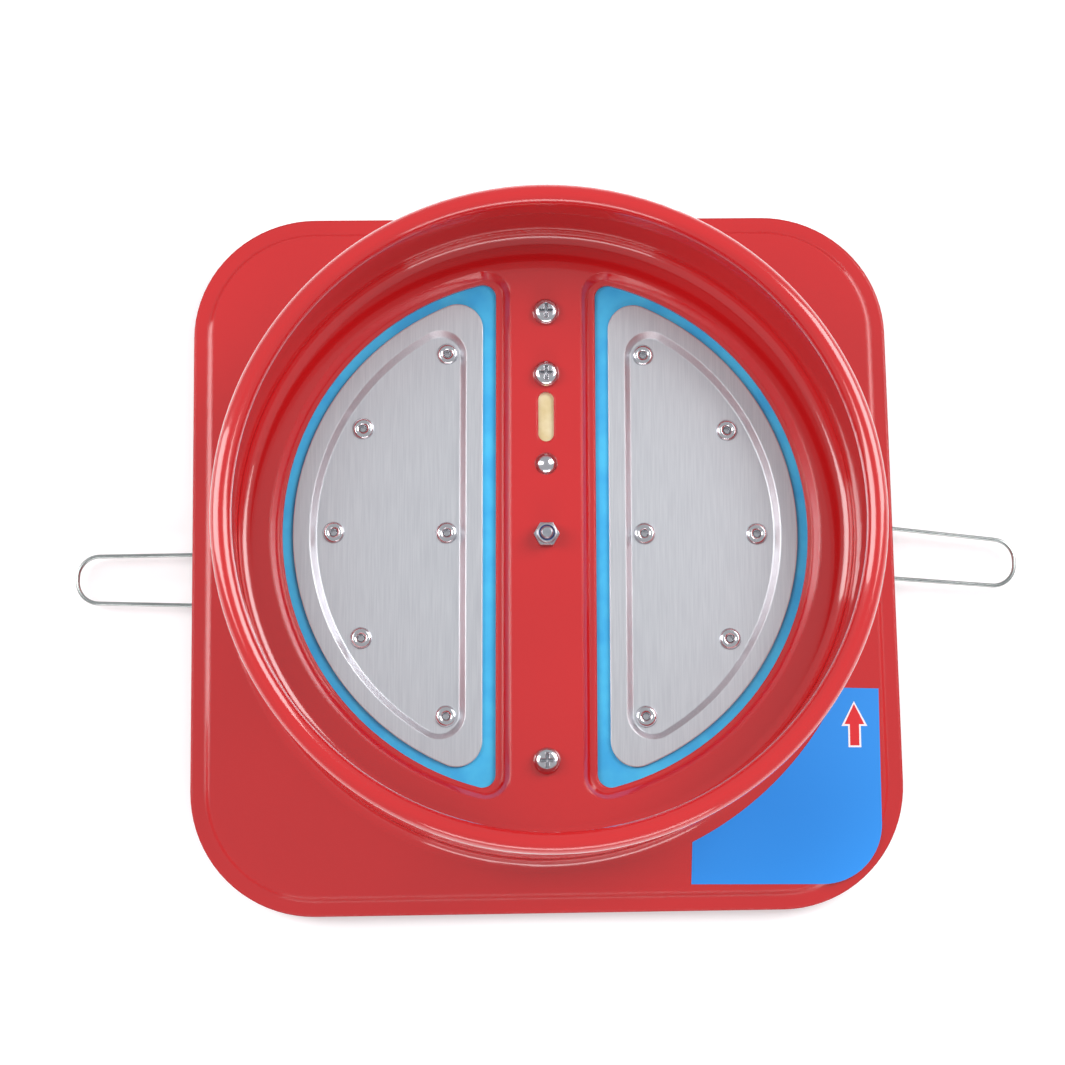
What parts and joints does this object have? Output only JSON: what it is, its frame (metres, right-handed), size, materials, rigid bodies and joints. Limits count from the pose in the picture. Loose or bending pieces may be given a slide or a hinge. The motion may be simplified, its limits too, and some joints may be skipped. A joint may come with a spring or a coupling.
{
  "type": "range hood non-return valve",
  "caption": "Twin-flap range hood non-return valve with a red enamelled flange and collar, silicone-sealed stainless flaps and a fusible-link lock.",
  "frame": {"origin": "on the collar's axis, in the plane of the flange's back face", "axes": "+Z along the collar's axis towards the hood hose, +Y along the hinge pins, +X to the right flap"},
  "size_m": [0.2685, 0.2018, 0.0693],
  "materials": {
    "enamel_steel": "glossy",
    "stainless": "satin",
    "zinc_steel": "satin",
    "spring_steel": "satin",
    "silicone": "satin",
    "brass": "satin",
    "nylon": "satin"
  },
  "bodies": {
    "root": {"flange_collar": "enamel_steel", "seat_pan": "enamel_steel", "right_hinge_pin": "stainless", "right_flap_spring": "spring_steel", "right_clip_pin": "stainless", "right_clip_bracket": "enamel_steel", "left_hinge_pin": "stainless", "left_flap_spring": "spring_steel", "left_clip_pin": "stainless", "left_clip_bracket": "enamel_steel", "pin_clips": "zinc_steel", "top_hinge_bracket": "zinc_steel", "bottom_hinge_bracket": "zinc_steel", "screw_nuts": "zinc_steel", "centre_bolt": "zinc_steel", "bolt_washer": "zinc_steel", "guide_sleeve": "zinc_steel", "lock_nut": "zinc_steel", "guide_post": "zinc_steel", "pan_head_screws": "zinc_steel", "lock_nut_ring": "nylon", "link_fixed_strip": "brass", "lock_spring": "spring_steel"},
    "right_flap": {"right_front_plate": "stainless", "right_gasket": "silicone", "right_back_plate": "zinc_steel", "right_rivets": "stainless"},
    "left_flap": {"left_front_plate": "stainless", "left_gasket": "silicone", "left_back_plate": "zinc_steel", "left_rivets": "stainless"},
    "slider": {"lock_slide": "zinc_steel", "link_moving_strip": "brass"},
    "right_clip": {"right_clip_wire": "spring_steel"},
    "left_clip": {"left_clip_wire": "spring_steel"}
  },
  "joints": [
    {"name": "right_flap_hinge", "type": "hinge", "parent": "root", "child": "right_flap", "pos_m": [0.009, 0, 0.0242], "axis": [0, 1, 0], "range_deg": [0, 80], "stiffness_Nm_per_rad": 0.02, "deforming": ["right_flap_spring"]},
    {"name": "left_flap_hinge", "type": "hinge", "parent": "root", "child": "left_flap", "pos_m": [-0.009, 0, 0.0242], "axis": [0, -1, 0], "range_deg": [0, 80], "stiffness_Nm_per_rad": 0.02, "deforming": ["left_flap_spring"]},
    {"name": "lock_slide_travel", "type": "slide", "parent": "root", "child": "slider", "axis": [0, -1, 0], "range_m": [0, 0.007], "deforming": ["lock_spring"]},
    {"name": "right_clip_hinge", "type": "hinge", "parent": "root", "child": "right_clip", "pos_m": [0.083, 0.0006, -0.00245], "axis": [0, 1, 0], "range_deg": [0, 95], "stiffness_Nm_per_rad": 0.02},
    {"name": "left_clip_hinge", "type": "hinge", "parent": "root", "child": "left_clip", "pos_m": [-0.083, -0.0092, -0.00245], "axis": [0, -1, 0], "range_deg": [0, 95], "stiffness_Nm_per_rad": 0.02}
  ]
}
